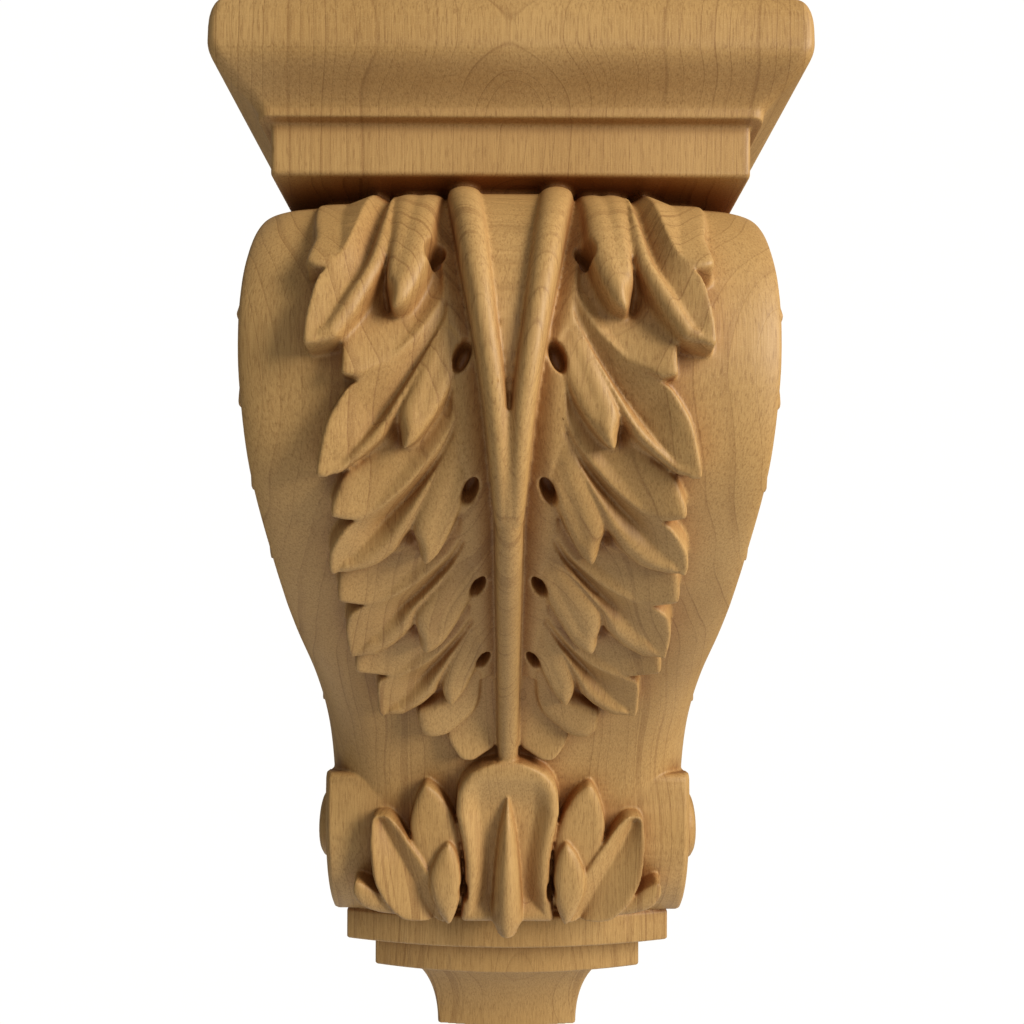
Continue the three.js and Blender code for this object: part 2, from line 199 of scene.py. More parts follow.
def body_ground(share, down):
    """Height of the plain body at a share of its half width and a length down its front."""
    neck = ease(down, NECK_START, NECK_END)
    turn = np.clip((share - mix(0.86, 0.6, neck)) / mix(0.14, 0.4, neck), 0, 1)
    fall = 1 - np.sqrt(1 - turn ** 2)
    lean = np.clip((share - 0.55) / 0.45, 0, 1) ** 2
    return -mix(BODY_ROLL, NECK_ROLL, neck) * fall - LEAN_BACK * lean * (1 - ease(down, 120, 165))


# Lower scroll: the roll that the flank runs into. It is as wide as the body, with a flat top that
# stands clear at the two corners and a round front that turns under to the base.
SCROLL_HALF = 54.5
SCROLL_TOP = -39.7
SCROLL_HEART = 30
SCROLL_ARRIS = 1.5
ARRIS_SHARE = 0.03
STEP_ONE_TOP = BOTTOM + 50.2

bend = np.linspace(0, 1, 30)[:, None]
lip = np.array([(SCROLL_FRONT - 2.5, SCROLL_TOP), (SCROLL_FRONT, SCROLL_TOP), (SCROLL_FRONT, -43)])
roll = np.array([(SCROLL_FRONT, -43), (62.5, -56), (62, -74), (47, STEP_ONE_TOP + 0.8)])
lip_arc = (1 - bend) ** 2 * lip[0] + 2 * bend * (1 - bend) * lip[1] + bend ** 2 * lip[2]
roll_arc = ((1 - bend) ** 3 * roll[0] + 3 * bend * (1 - bend) ** 2 * roll[1]
            + 3 * bend ** 2 * (1 - bend) * roll[2] + bend ** 3 * roll[3])
roll_outline = np.vstack([[(0, -28), (SCROLL_HEART, -42)], lip_arc, roll_arc[1:], [(0, STEP_ONE_TOP - 1)]])
roll_rings = []
for x, inset in ((-SCROLL_HALF, ARRIS_SHARE), (SCROLL_ARRIS - SCROLL_HALF, 0),
                 (SCROLL_HALF - SCROLL_ARRIS, 0), (SCROLL_HALF, ARRIS_SHARE)):
    depth = roll_outline[:, 0] * np.where(roll_outline[:, 0] > SCROLL_HEART, 1 - inset, 1)
    roll_rings.append(np.column_stack([np.full(len(depth), x), -depth, roll_outline[:, 1]]))
skin(roll_rings)

# Base: two plain steps with bowed fronts under the scroll, and a tail that narrows in a cove to a
# small flat end.
STEP_ONE = dict(half=50.9, front=52.5, bow=7, top=STEP_ONE_TOP, foot=BOTTOM + 40.6)
STEP_TWO = dict(half=43.1, front=44, bow=6.2, top=BOTTOM + 41.6, foot=BOTTOM + 29)
BASE_CORNER = 1
COVE_HALF = STEP_TWO["half"] - 2
COVE_FRONT = STEP_TWO["front"] - 3
COVE_RINGS = 28
TAIL_HALF = 24.2
TAIL_FRONT = 20
TAIL_BOW = 2

for step in (STEP_ONE, STEP_TWO):
    rim = [(ARRIS, step["top"]), (0, step["top"] - ARRIS), (0, step["foot"] + ARRIS), (ARRIS, step["foot"])]
    skin([plan_ring(step["half"] - inset, step["front"] - inset, z, BASE_CORNER, step["bow"])
          for inset, z in rim])

cove_rings = [plan_ring(COVE_HALF, COVE_FRONT, STEP_TWO["foot"] + 2, BASE_CORNER, STEP_TWO["bow"])]
for angle in np.linspace(0, math.pi / 2, COVE_RINGS):
    narrow = math.sin(angle)
    cove_rings.append(plan_ring(
        mix(COVE_HALF, TAIL_HALF, narrow), mix(COVE_FRONT, TAIL_FRONT, narrow),
        mix(BOTTOM, STEP_TWO["foot"], math.cos(angle)), BASE_CORNER, mix(STEP_TWO["bow"], TAIL_BOW, narrow)))
skin(cove_rings)

# Leaf: acanthus leaflets carved in the solid down both sides of the stem. Each comes out from under the
# one above and has an upper, a main and an inner lobe; a vein runs down the main one below its high rim.
LEAF_RISE = 7
ROOT_SHARE = 0.28
UPPER_ROOT, UPPER_TIP = 0.12, 0.9
LIFT, UPPER_LIFT = 1.6, 3
RIM_SLOPE = 0.5
VEIN_DEPTH = 3.2
FOLD_DEPTH, FOLD_HALF = 0.3, 1.1
PANEL_RISE = 4.2
EYE_FLOOR = -2.5
EYE_SIZE = (1.5, 2.8)
EYE_SLANT = 0.3
POCKET_DEPTH = 2.2
POCKET_SIZE = (1.6, 2.2)
LEAF_HALF = 46
EDGE_ROUND = 3
GRID = 0.35
WALL = 0.35
HAIR = 0.01


def mirrored(points):
    return points * (-1, 1, 1)


def rounded(corners):
    """A closed outline with its corners cut twice."""
    for _ in range(2):
        after = np.roll(corners, -1, axis=0)
        corners = np.stack([mix(corners, after, 0.2), mix(corners, after, 0.8)], axis=1).reshape(-1, 2)
    return corners


def line_distance(x, down, line):
    """Distance to a line, the share along it of the nearest spot, and the side: 1 outer, -1 inner."""
    nearest = np.full(x.shape, np.inf)
    reached, side = np.zeros(x.shape), np.zeros(x.shape)
    for index, ((ax, ay), (bx, by)) in enumerate(zip(line, line[1:])):
        ex, ey = bx - ax, by - ay
        share = np.clip(((x - ax) * ex + (down - ay) * ey) / (ex * ex + ey * ey), 0, 1)
        gap = np.hypot(x - ax - share * ex, down - ay - share * ey)
        closer = gap < nearest
        reached = np.where(closer, (index + share) / (len(line) - 1), reached)
        side = np.where(closer, np.sign(ey * (x - ax) - ex * (down - ay)), side)
        nearest = np.where(closer, gap, nearest)
    return nearest, reached, side


def inside_depth(x, down, corners):
    """How far inside a closed outline each spot lies, negative outside."""
    inside = np.zeros(x.shape, bool)
    for (ax, ay), (bx, by) in zip(corners, np.roll(corners, -1, axis=0)):
        if ay != by:
            inside ^= ((ay > down) != (by > down)) & (x < ax + (down - ay) * (bx - ax) / (by - ay))
    gap = line_distance(x, down, np.vstack([corners, corners[:1]]))[0]
    return np.where(inside, gap, -gap)


def toward(x, down, root, tip):
    """Share of the way from a lobe's root to its tip."""
    reach = np.subtract(tip, root)
    return np.clip(((x - root[0]) * reach[0] + (down - root[1]) * reach[1]) / (reach @ reach), 0, 1)


def round_over(near, radius, edge):
    """Share of a lobe's height beside its edge, which is rounded over to the given share."""
    return mix(edge, 1, np.sqrt(1 - (1 - np.clip(near / radius, 0, 1)) ** 2))


def leaf_fullness(down):
    """The carving is shallow where it leaves the soffit and comes to its full rise on the belly."""
    return mix(0.6, 1, ease(down, 4, 42))


leaflets = [
    dict(
        upper=[(30, -8), (43, -8), (42.5, 15), (40.5, 30), (39, 37), (39.6, 41), (40, 44.8), (36.4, 46),
               (32.5, 44.5), (29.5, 41), (28, 30)],
        rim=[(30, -8), (30, 20), (30.6, 34), (32, 41), (34.5, 44.6), (36.8, 46.5)],
        main=[(38.2, 50.2), (39.2, 54.5), (39.7, 59.8), (36.2, 59.4), (32.6, 58.6), (29.2, 54), (26.3, 49),
              (24.3, 44.5), (23.2, 38), (22.5, 20), (24, -8)],
        inner=[(15, -8), (26, -8), (25, 20), (23.8, 36), (23.9, 42.5), (24.1, 47.6), (23.6, 50.8),
               (22.4, 53.4), (19.6, 52.2), (17.4, 48.6), (15.9, 44.4), (15, 40.5), (14.8, 20)],
        tips=[(40, 44.8), (39.7, 59.8), (22.4, 53.4)], roots=[(34, -4), (28, -4), (20, -4)],
        vein=[(27, -4), (26.8, 25), (27.4, 36), (28.6, 43.5), (31.5, 49.5), (35.2, 56)],
        fold=[(20, -4), (20, 25), (20.4, 38), (21.6, 47)],
        eye=(14.8, 39.8), pocket=(23.9, 50.2), high=1, root=0.5),
    dict(
        upper=[(14, 38), (20, 36), (27, 44), (33, 55), (32.6, 58.6), (32.5, 61.5), (32.8, 64.2), (28, 64.8),
               (24, 63), (19, 59), (13, 51)],
        rim=[(11.5, 46), (14, 50.5), (16.5, 54.5), (19.5, 58), (24.5, 62), (28.5, 64), (31.5, 65.6)],
        main=[(34, 68.9), (35.9, 71.7), (37.2, 75.5), (39.2, 82), (36.5, 82.2), (33.7, 81.8), (29.4, 79),
              (25.2, 75.7), (22.4, 73), (21.2, 69.5), (18.5, 64.4), (15, 57.8), (12.5, 53.5)],
        inner=[(9.6, 57), (12.5, 54), (15, 58), (18.5, 64.5), (21.3, 69.6), (22, 73.4), (21.5, 76.4),
               (20.8, 77.5), (18.2, 75.8), (14.9, 72), (12.9, 68.9), (11.3, 65.6), (10, 62)],
        tips=[(32.8, 64.2), (39.2, 82), (20.8, 77.5)], roots=[(15, 40), (13, 49), (10, 57)],
        vein=[(12.6, 52), (16, 58.5), (20, 64.3), (24.3, 69.8), (29, 75.2), (33.5, 79.4)],
        fold=[(11.5, 57), (14, 63), (17.5, 70.5)],
        eye=(9.3, 60.3), pocket=(22.2, 74.6), high=1),
    dict(
        upper=[(11, 62), (15, 66), (22, 75), (30, 80), (33.7, 82), (35.3, 85), (37, 88.3), (37.2, 90.4),
               (34.4, 91.4), (31.5, 92), (27.5, 90.5), (21, 86.5), (12, 75)],
        rim=[(10, 70), (13.5, 76), (17.8, 81.3), (22, 85.4), (26, 88.4), (30, 90.9), (33.8, 92.3)],
        main=[(37.1, 96.1), (38.8, 99), (39.5, 102.5), (39.3, 105.2), (35.3, 105.4), (31, 104.6),
              (28.4, 103.6), (24.4, 100.4), (20.6, 95), (18, 89), (13.2, 79), (10.5, 75)],
        inner=[(8.6, 82), (11, 75.5), (13.2, 79), (17.4, 86.7), (19.8, 92), (20.6, 95.2), (20.1, 99.3),
               (18.4, 103.8), (14.9, 100.6), (12, 95), (9.7, 89.2), (8.6, 86)],
        tips=[(37.2, 90.4), (39.3, 105.2), (18.4, 103.8)], roots=[(12, 64), (11, 72), (9, 80)],
        vein=[(11, 74), (13.6, 79), (16.5, 83), (20.5, 87.5), (25, 92.2), (30, 97), (34, 100.8)],
        fold=[(10, 81), (12.6, 88), (16, 96)],
        eye=(8.1, 86.5), pocket=(20.8, 98.6), high=1.08),
    dict(
        upper=[(10, 90), (14, 94), (20, 101), (30, 104), (37.5, 105.5), (38.6, 108), (39.4, 112.5),
               (39.3, 114.6), (35.3, 116.3), (32, 117.4), (26, 115.4), (20, 111.5), (11, 100.5)],
        rim=[(9.5, 95), (12.5, 101.5), (16.5, 106.5), (21, 110.8), (26, 114), (30.5, 116), (34, 116.8)],
        main=[(38, 119.8), (39.4, 125), (39.5, 131), (39.2, 135), (32.9, 134.9), (28, 131.7), (24.7, 128.4),
              (23, 126.3), (21.8, 120), (17, 113.5), (12.5, 107.5), (9.6, 101.5)],
        inner=[(7.6, 108), (9.6, 101.8), (12.5, 107.8), (17, 114), (22.2, 120.8), (22.4, 126),
               (22.4, 130.4), (21, 134.5), (18, 133), (15.3, 130.4), (11.6, 123.4), (9, 117.5), (7.6, 113)],
        tips=[(39.3, 114.6), (39.2, 135), (21, 134.5)], roots=[(11, 92), (10, 98), (8.5, 105)],
        vein=[(9.8, 99.5), (13, 106), (17.5, 112), (22.2, 117.3), (27, 122), (32, 127.3)],
        fold=[(9, 107), (12.6, 116), (17.5, 126)],
        eye=(7.1, 113.5), pocket=(23, 129), high=1.1),
    dict(
        upper=[(9, 117), (13, 121), (20, 129), (30, 133.5), (38, 135), (39, 138), (39.4, 141),
               (38.9, 142.4), (35.2, 143.9), (31, 145.8), (25, 144.8), (19, 140.5), (10, 127.5)],
        rim=[(8.5, 121), (11.5, 128.5), (15.5, 134.8), (20, 140), (25, 143.4), (29.5, 145), (34.2, 146.2)],
        main=[(35, 152.4), (35.3, 158.5), (34.3, 160.7), (28.2, 161), (23, 157.6), (19, 153.6), (17.8, 149),
              (15, 141), (11.5, 133.5), (8.4, 126.5)],
        inner=[(6.8, 136), (8.4, 127), (11.5, 134), (15, 141.4), (17.8, 149.6), (17.5, 154.3), (15.6, 158),
               (13.4, 155.4), (11, 151.4), (8.4, 144.2), (6.8, 141)],
        tips=[(38.9, 142.4), (34.3, 160.7), (15.6, 158)], roots=[(10, 119), (9, 124), (7.5, 132)],
        vein=[(8.8, 126), (12, 133.5), (16, 140), (20.6, 146.3), (25.3, 151.8), (29.5, 156)],
        fold=[(8, 134), (10.4, 142), (13.6, 150)],
        eye=(6.5, 141.8), pocket=(18.6, 156), high=1.06),
    dict(
        upper=[(4, 148), (9, 152), (14, 160), (17.5, 171), (16.8, 174.5), (14.5, 178.5), (13, 180),
               (10, 180.5), (6, 178), (3, 176), (3, 160)],
        main=[(7, 145), (11, 149), (16, 156), (22, 159.5), (25, 160.6), (25.2, 165), (24.6, 168.5),
              (22.6, 170.8), (19.3, 171.1), (16, 170), (8, 162)],
        tips=[(13, 180), (22.6, 170.8)], roots=[(6, 152), (8, 147)], high=0.9),
]

columns = np.arange(0, LEAF_HALF, GRID)
rows = np.arange(-body.start, body.length - body.start, GRID)
leaf_x, leaf_down = np.meshgrid(columns, rows)
margin_rows = [0, 40, 60, 86, 113, 142, 168]
inner_margin = np.interp(leaf_down, margin_rows, [15, 14.8, 9.4, 8.2, 7.2, 6.6, 4])
outer_margin = np.interp(leaf_down, margin_rows, [38, 33, 27, 30, 32, 28, 14])
leaf = ROOT_SHARE * LEAF_RISE * ease(leaf_x, inner_margin - 6, inner_margin + 0.8)
leaf *= 1 - ease(leaf_x, outer_margin - 2, outer_margin + 2)
leaf *= 1 - ease(leaf_down, 166, 172)
panel_edge = np.interp(leaf_down, [0, 42, 50, 59, 67], [7.5, 4.4, 2.9, 1.4, 0])
leaf = np.maximum(leaf, PANEL_RISE * (1 - ease(leaf_x, panel_edge - 0.2, panel_edge + 0.2 + WALL)))


def laid_over(ground, rise, near):
    """Lay a lobe over the leaf so far, with a short wall around it."""
    return mix(ground, np.maximum(rise, 0.4), ease(near, -WALL, WALL))


def lobe_near(corners):
    return inside_depth(leaf_x, leaf_down, rounded(np.array(corners, float)))


for leaflet in reversed(leaflets):
    high = LEAF_RISE * leaflet["high"]
    lift = [toward(leaf_x, leaf_down, root, tip) for root, tip in zip(leaflet["roots"], leaflet["tips"])]
    root_share = leaflet.get("root", ROOT_SHARE)
    main_rise = high * mix(root_share, 1, lift[1] ** LIFT)
    upper_rise = high * mix(UPPER_ROOT, UPPER_TIP, lift[0] ** UPPER_LIFT)
    near = lobe_near(leaflet["upper"])
    if "rim" in leaflet:
        from_rim = line_distance(leaf_x, leaf_down, curve_through(leaflet["rim"], 30))[0]
        upper_rise = np.maximum(upper_rise, main_rise - RIM_SLOPE * from_rim)
    leaf = laid_over(leaf, upper_rise * round_over(near, 2, 0.72), near)

    near = lobe_near(leaflet.get("rim", []) + leaflet["main"])
    if "vein" in leaflet:
        to_edge = line_distance(leaf_x, leaf_down, leaflet["main"])[0]
        to_vein, reached, side = line_distance(leaf_x, leaf_down, curve_through(leaflet["vein"], 40))
        share = to_vein / (to_vein + np.maximum(near, 0) + HAIR)
        bank = np.where(side > 0, share, np.sin(np.minimum(1, 1.8 * share) * math.pi / 2))
        groove = VEIN_DEPTH * mix(0.45, 1, ease(reached, 0, 0.35)) * mix(1, 0.35, ease(reached, 0.65, 1))
        main_rise = (main_rise - groove * (1 - bank)) * np.where(
            side > 0, round_over(to_edge, 1.2, 0.78), round_over(to_edge, 3, 0.62))
    else:
        main_rise = main_rise * round_over(near, 4, 0.66)
    leaf = laid_over(leaf, main_rise, near)

    if "inner" in leaflet:
        near = lobe_near(leaflet["inner"])
        from_fold = line_distance(leaf_x, leaf_down, curve_through(leaflet["fold"], 16))[0]
        inner_rise = high * mix(root_share, 1, lift[2] ** LIFT) * round_over(near, 3.6, 0.62)
        leaf = laid_over(leaf, inner_rise - FOLD_DEPTH * np.exp(-(from_fold / FOLD_HALF) ** 2), near)

for leaflet in leaflets[:-1]:
    x, down = leaflet["eye"]
    slant = EYE_SLANT * (leaf_down - down)
    hole = np.hypot((leaf_x - x - slant) / EYE_SIZE[0], (leaf_down - down) / EYE_SIZE[1])
    leaf = mix(leaf, np.minimum(leaf, EYE_FLOOR), 1 - ease(hole, 0.75, 1.15))
    x, down = leaflet["pocket"]
    hole = np.hypot((leaf_x - x) / POCKET_SIZE[0], (leaf_down - down) / POCKET_SIZE[1])
    leaf -= POCKET_DEPTH * np.exp(-hole ** 2)
leaf *= leaf_fullness(leaf_down)

edge_turn = np.linspace(0.1, math.pi / 2, 12)
side_columns = np.concatenate([
    np.linspace(LEAF_HALF + 0.3, BODY_HALF - EDGE_ROUND, 12), BODY_HALF - EDGE_ROUND * np.cos(edge_turn)])
front_x = np.concatenate([columns, side_columns])
relief = np.concatenate([leaf, np.zeros((len(rows), len(side_columns)))], axis=1)
right_front = body.place(front_x[None, :], rows[:, None],
                         relief + body_ground(front_x[None, :] / BODY_HALF, rows[:, None]))
left_front = mirrored(right_front[:, :0:-1])
body_level = body.place(0, rows, 0)[:, 2]
back_right = np.column_stack([np.full(len(rows), BODY_HALF), np.zeros(len(rows)), body_level])
back_left = mirrored(back_right)
skin(np.concatenate([left_front, right_front, back_right[:, None], back_left[:, None]], axis=1))

# Stem: the midrib of the leaf, carved as one with it. Two rounded ribs leave the soffit, close to a V and
# go on as a single stem that stops at the husk.
STEM_FOOT = -6
STEM_EDGE = 0.55


def rib(stations, both=False):
    """A rounded rib along stations of across, down, half width and rise."""
    across, down, half, rise = curve_through(stations, 70).T
    rise = rise * leaf_fullness(down)
    turn = np.linspace(-1, 1, 15)
    arch = [body.place(across + q * half, down, rise * mix(STEM_EDGE, 1, math.sqrt(1 - q * q))) for q in turn]
    foot = [body.place(across + q * half, down, STEM_FOOT) for q in (1, -1)]
    rings = np.stack(arch + foot, axis=1)
    skin(rings)
    if both:
        skin(mirrored(rings))


rib([(10.8, -8, 3.9, 6.4), (9.8, 18, 3.7, 6.6), (7.2, 40, 3.2, 6.8), (4.9, 55, 2.7, 6.8),
     (2.6, 70, 2.5, 6.6), (1.2, 92, 2, 6.2)], both=True)
rib([(0, 70, 2, 5.4), (0, 92, 3, 6.3), (0, 130, 3, 6), (0, 172, 3, 5.5), (0, 186, 2.8, 5.5)])

# Husk: a cup of upright lobes carved over the lower scroll. A hollow middle lobe with a rim and a rib
# takes the stem, and pairs of pointed lobes stand beside it with their feet over the base.
HUSK_HALF = 48
HUSK_DEEP = -8
HUSK_BACK = -20
HUSK_VEIN_DEPTH = 3.2
HUSK_EYE = (12.8, 43)
HUSK_EYE_SIZE = (1.1, 2.8)
HUSK_EYE_FLOOR = -3
CUP_TOP, CUP_FOOT = 2, 52.5
CUP_HIGH, CUP_LOW, CUP_HOLLOW = 8, 5.8, 2.8
RIB_TOP = 14
husk_front = Front(0, [(66, -30), (63, -42), (61.5, -54), (61, -66), (59.5, -76), (57, -84)])
husk_lobes = [
    dict(low=4.5, high=6, root=(18, 50), tip=(24, 9.7), roll=3, outline=[
        (24.1, 9.7), (19.6, 13.4), (15.8, 19.8), (13.6, 26.7), (13, 38), (22.6, 40), (28.2, 30),
        (28.9, 22.9), (26.9, 15.3)]),
    dict(low=4, high=5.4, root=(28, 51), tip=(45, 41), roll=3, outline=[
        (44.8, 39.6), (40.4, 42), (36.2, 45), (28, 52), (36.9, 51), (43.2, 48.6), (46, 44)]),
    dict(low=6.2, high=7, root=(24, 52), tip=(37, 20), roll=1.8, outline=[
        (39.6, 20.2), (34.5, 20), (31.3, 23.5), (28, 29), (24, 34.4), (19, 43), (16.4, 53), (22.9, 52.6),
        (30.5, 52.4), (36, 47), (39.4, 40), (40.4, 29.8)],
        vein=[(37, 22.5), (33.6, 30), (29, 38), (24.6, 46), (21.5, 52)]),
    dict(low=7.4, high=8, root=(16, 52), tip=(16.6, 28), roll=3.6, outline=[
        (17, 27.6), (14.6, 31), (13.2, 37), (13.3, 45), (16.8, 54), (20.3, 49), (23, 42.7), (22.8, 37),
        (20, 31)]),
]

husk_columns = np.arange(0, HUSK_HALF, GRID)
husk_rows = np.arange(0, husk_front.length, GRID)
husk_x, husk_down = np.meshgrid(husk_columns, husk_rows)
husk = np.full(husk_x.shape, float(HUSK_DEEP))


def raised(ground, near, rise):
    """Lay a lobe over the ground: its height inside its outline, and a short wall around it."""
    return np.maximum(ground, mix(HUSK_DEEP, rise, ease(near, -WALL, WALL)))


cup_edge = np.interp(husk_down, [CUP_TOP, 2.6, 4, 6, 9, 13, 19, 27, 34, 40, 48, 51, CUP_FOOT],
                     [0, 4, 8, 11.2, 13.4, 14.8, 15.2, 13.8, 12.8, 12.6, 13.5, 14, 13])
cup_depth = np.minimum(np.minimum(cup_edge - husk_x, (husk_down - CUP_TOP) * 0.9), CUP_FOOT - husk_down)
cup_rise = mix(CUP_HIGH, CUP_LOW, ease(husk_down, 18, 46))
cup_rise -= CUP_HOLLOW * ease(cup_depth, 2, 7.5) * ease(husk_down, 5, 20)
husk = raised(husk, cup_depth, cup_rise * round_over(cup_depth, 2.2, 0.7))
for lobe in husk_lobes:
    near = inside_depth(husk_x, husk_down, rounded(np.array(lobe["outline"], float)))
    rise = mix(lobe["low"], lobe["high"], toward(husk_x, husk_down, lobe["root"], lobe["tip"]))
    if "vein" in lobe:
        to_vein = line_distance(husk_x, husk_down, curve_through(lobe["vein"], 30))[0]
        rise -= HUSK_VEIN_DEPTH * (1 - to_vein / (to_vein + np.maximum(near, 0) + HAIR))
    husk = raised(husk, near, rise * round_over(near, lobe["roll"], 0.7))
rib_half = np.interp(husk_down, [RIB_TOP, 18, 25, 35, 45, 51, 54], [0.4, 1.5, 2.7, 3.7, 4.4, 4.8, 3.4])
rib_rise = mix(7, 9.6, ease(husk_down, RIB_TOP, 26)) * (1 - 0.4 * np.clip(husk_x / rib_half, 0, 1) ** 2)
husk = raised(husk, np.where(husk_down > RIB_TOP, rib_half - husk_x, -2), rib_rise)
hole = np.hypot((husk_x - HUSK_EYE[0]) / HUSK_EYE_SIZE[0], (husk_down - HUSK_EYE[1]) / HUSK_EYE_SIZE[1])
husk = mix(husk, np.minimum(husk, HUSK_EYE_FLOOR), 1 - ease(hole, 0.7, 1.2))

husk_right = husk_front.place(husk_x, husk_down, husk)
husk_left = mirrored(husk_right[:, :0:-1])
husk_level = husk_front.place(0, husk_rows, 0)[:, 2]
husk_side = np.full(len(husk_rows), husk_columns[-1])
heart = np.column_stack([husk_side, np.full(len(husk_rows), HUSK_BACK), husk_level])
skin(np.concatenate([husk_left, husk_right, heart[:, None], mirrored(heart)[:, None]], axis=1))

# Sides: plainer carving in low relief. Lobes follow the front edge and a round boss sits at the
# heart of each scroll.
SIDE_RISE = 1.2
SIDE_EDGE = 0.2
SIDE_LOBES = 7
SIDE_DEEP = 3
BOSS_POINTS = 64
BOSS_SECTION = ((1, 0.4), (0.93, 0.7), (0.8, 0.88), (0.5, 0.98), (0.1, 1))

for down in np.linspace(36, 160, SIDE_LOBES):
    inset = mix(5, 15, ease(down, 100, 165))
    heel, middle, tip = [
        body.place(0, down + ahead, -inset - deep) for ahead, deep in ((-14, 22), (2, 12), (13, 0))]
    along = (tip - heel) / np.linalg.norm(tip - heel)
    t = np.linspace(0, 1, 24)[:, None, None]
    q = np.linspace(-1, 1, 15)[None, :, None]
    line = (1 - t) ** 2 * heel + 2 * t * (1 - t) * (2 * middle - (heel + tip) / 2) + t ** 2 * tip
    half = mix(5, 8.5, ease(t, 0, 0.5)) * np.sqrt(np.clip(1 - t ** 3, 0.01, 1))
    top = line + q * half * np.array([0, -along[2], along[1]])
    top[..., 0] = BODY_HALF + mix(SIDE_EDGE, SIDE_RISE, 1 - q[..., 0] ** 2)
    foot = top[:, [-1, 0]] * (0, 1, 1) + (BODY_HALF - SIDE_DEEP, 0, 0)
    rings = np.concatenate([top, foot], axis=1)
    skin(rings)
    skin(mirrored(rings))

for depth, z, radius, proud, face in ((100, 62, 15, 5, BODY_HALF), (38, -60, 11.5, 5.5, SCROLL_HALF)):
    turn = np.linspace(0, 2 * math.pi, BOSS_POINTS, endpoint=False)
    rings = []
    for share, out in ((1, -SIDE_DEEP), *((share, part * proud) for share, part in BOSS_SECTION)):
        reach = share * radius
        rings.append(np.column_stack([
            np.full(BOSS_POINTS, face + out), reach * np.cos(turn) - depth, z + reach * np.sin(turn)]))
    rings = np.array(rings)
    skin(rings)
    skin(mirrored(rings))

# Carving: all forms belong to one block of wood, so they are joined into one surface, and its edges and
# hollows are softened as sanding leaves them. It stays inside the outer sizes of the solid.
VOXEL = 0.4 * MM
TOUCHING = 1e-7
FINISHED_FACES = 190_000


def mesh_piece(name, shells):
    """One mesh object of several closed shells."""
    points, faces, first = [], [], 0
    for shell_points, shell_faces in shells:
        points.append(shell_points)
        faces.extend([[index + first for index in face] for face in shell_faces])
        first += len(shell_points)
    mesh = bpy.data.meshes.new(name)
    mesh.from_pydata((np.vstack(points) * MM).tolist(), [], faces)
    edit = bmesh.new()
    edit.from_mesh(mesh)
    bmesh.ops.remove_doubles(edit, verts=edit.verts, dist=TOUCHING)
    bmesh.ops.recalc_face_normals(edit, faces=edit.faces)
    edit.to_mesh(mesh)
    edit.free()
    piece = bpy.data.objects.new(name, mesh)
    bpy.context.collection.objects.link(piece)
    return piece


def settle(piece):
    """Bake a piece's modifiers into its mesh."""
    shape = bpy.data.meshes.new_from_object(piece.evaluated_get(bpy.context.evaluated_depsgraph_get()))
    piece.modifiers.clear()
    piece.data = shape


corbel = mesh_piece("carved_corbel", forms)
join = corbel.modifiers.new("one block", "REMESH")
join.mode = "VOXEL"
join.voxel_size = VOXEL
settle(corbel)

sand = corbel.modifiers.new("sanded", "SMOOTH")
sand.factor = 0.5
sand.iterations = 2
settle(corbel)
triangles = sum(len(face.vertices) - 2 for face in corbel.data.polygons)
thin = corbel.modifiers.new("fewer faces", "DECIMATE")
thin.ratio = min(1, FINISHED_FACES / triangles)
settle(corbel)
corners = np.empty(3 * len(corbel.data.vertices), np.float32)
corbel.data.vertices.foreach_get("co", corners)
corbel.data.vertices.foreach_set("co", np.clip(corners.reshape(-1, 3), *cad_box).ravel())
corbel.data.shade_smooth()

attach(corbel, "root")
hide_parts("corbel")

# Wood: pale, even hardwood with its pith close behind the front, so growth rings run up the sides of the
# face and close to arcs at its middle. It is sanded fine under a thin clear finish, and its recesses carry
# painted shade.
BODY_RINGS = 0.0042
CAP_RINGS = 0.0028
BODY_PITH = (0.004, -0.082, 0)
BODY_LEAN = 0.3
CAP_PITH = (0.001, -0.121, 0.1)
wood = bpy.data.materials.new("sanded_hardwood")
wood.use_nodes = True
surface = wood.node_tree.nodes["Principled BSDF"]


class Grain:
    """A value of the wood's surface, with arithmetic that adds Math nodes."""

    def __init__(self, socket):
        self.socket = socket

    @staticmethod
    def node(kind, settings, inputs, output=0):
        made = wood.node_tree.nodes.new(kind)
        for name, value in settings.items():
            if name == "stops":
                stops = made.color_ramp.elements
                while len(stops) < len(value):
                    stops.new(1)
                for stop, (place, grey) in zip(stops, value):
                    stop.position, stop.color = place, (grey, grey, grey, 1)
            else:
                setattr(made, name, value)
        for name, value in inputs.items():
            if isinstance(value, Grain):
                wood.node_tree.links.new(value.socket, made.inputs[name])
            else:
                made.inputs[name].default_value = value
        return Grain(made.outputs[output])

    def __add__(self, other):
        return Grain.node("ShaderNodeMath", {"operation": "ADD"}, {0: self, 1: other})

    def __sub__(self, other):
        return Grain.node("ShaderNodeMath", {"operation": "SUBTRACT"}, {0: self, 1: other})

    def __rsub__(self, other):
        return Grain.node("ShaderNodeMath", {"operation": "SUBTRACT"}, {0: other, 1: self})

    def __mul__(self, other):
        return Grain.node("ShaderNodeMath", {"operation": "MULTIPLY"}, {0: self, 1: other})

    __radd__ = __add__
    __rmul__ = __mul__

    def feed(self, name):
        wood.node_tree.links.new(self.socket, surface.inputs[name])


def stretched(place, along):
    return Grain.node("ShaderNodeVectorMath", {"operation": "MULTIPLY"}, {0: place, 1: (1, 1, along)})


def cloud(place, scale, detail=2, output=0):
    return Grain.node("ShaderNodeTexNoise", {}, {"Vector": place, "Scale": scale, "Detail": detail}, output)


def ramp(value, stops):
    return Grain.node("ShaderNodeValToRGB", {"stops": stops}, {0: value})


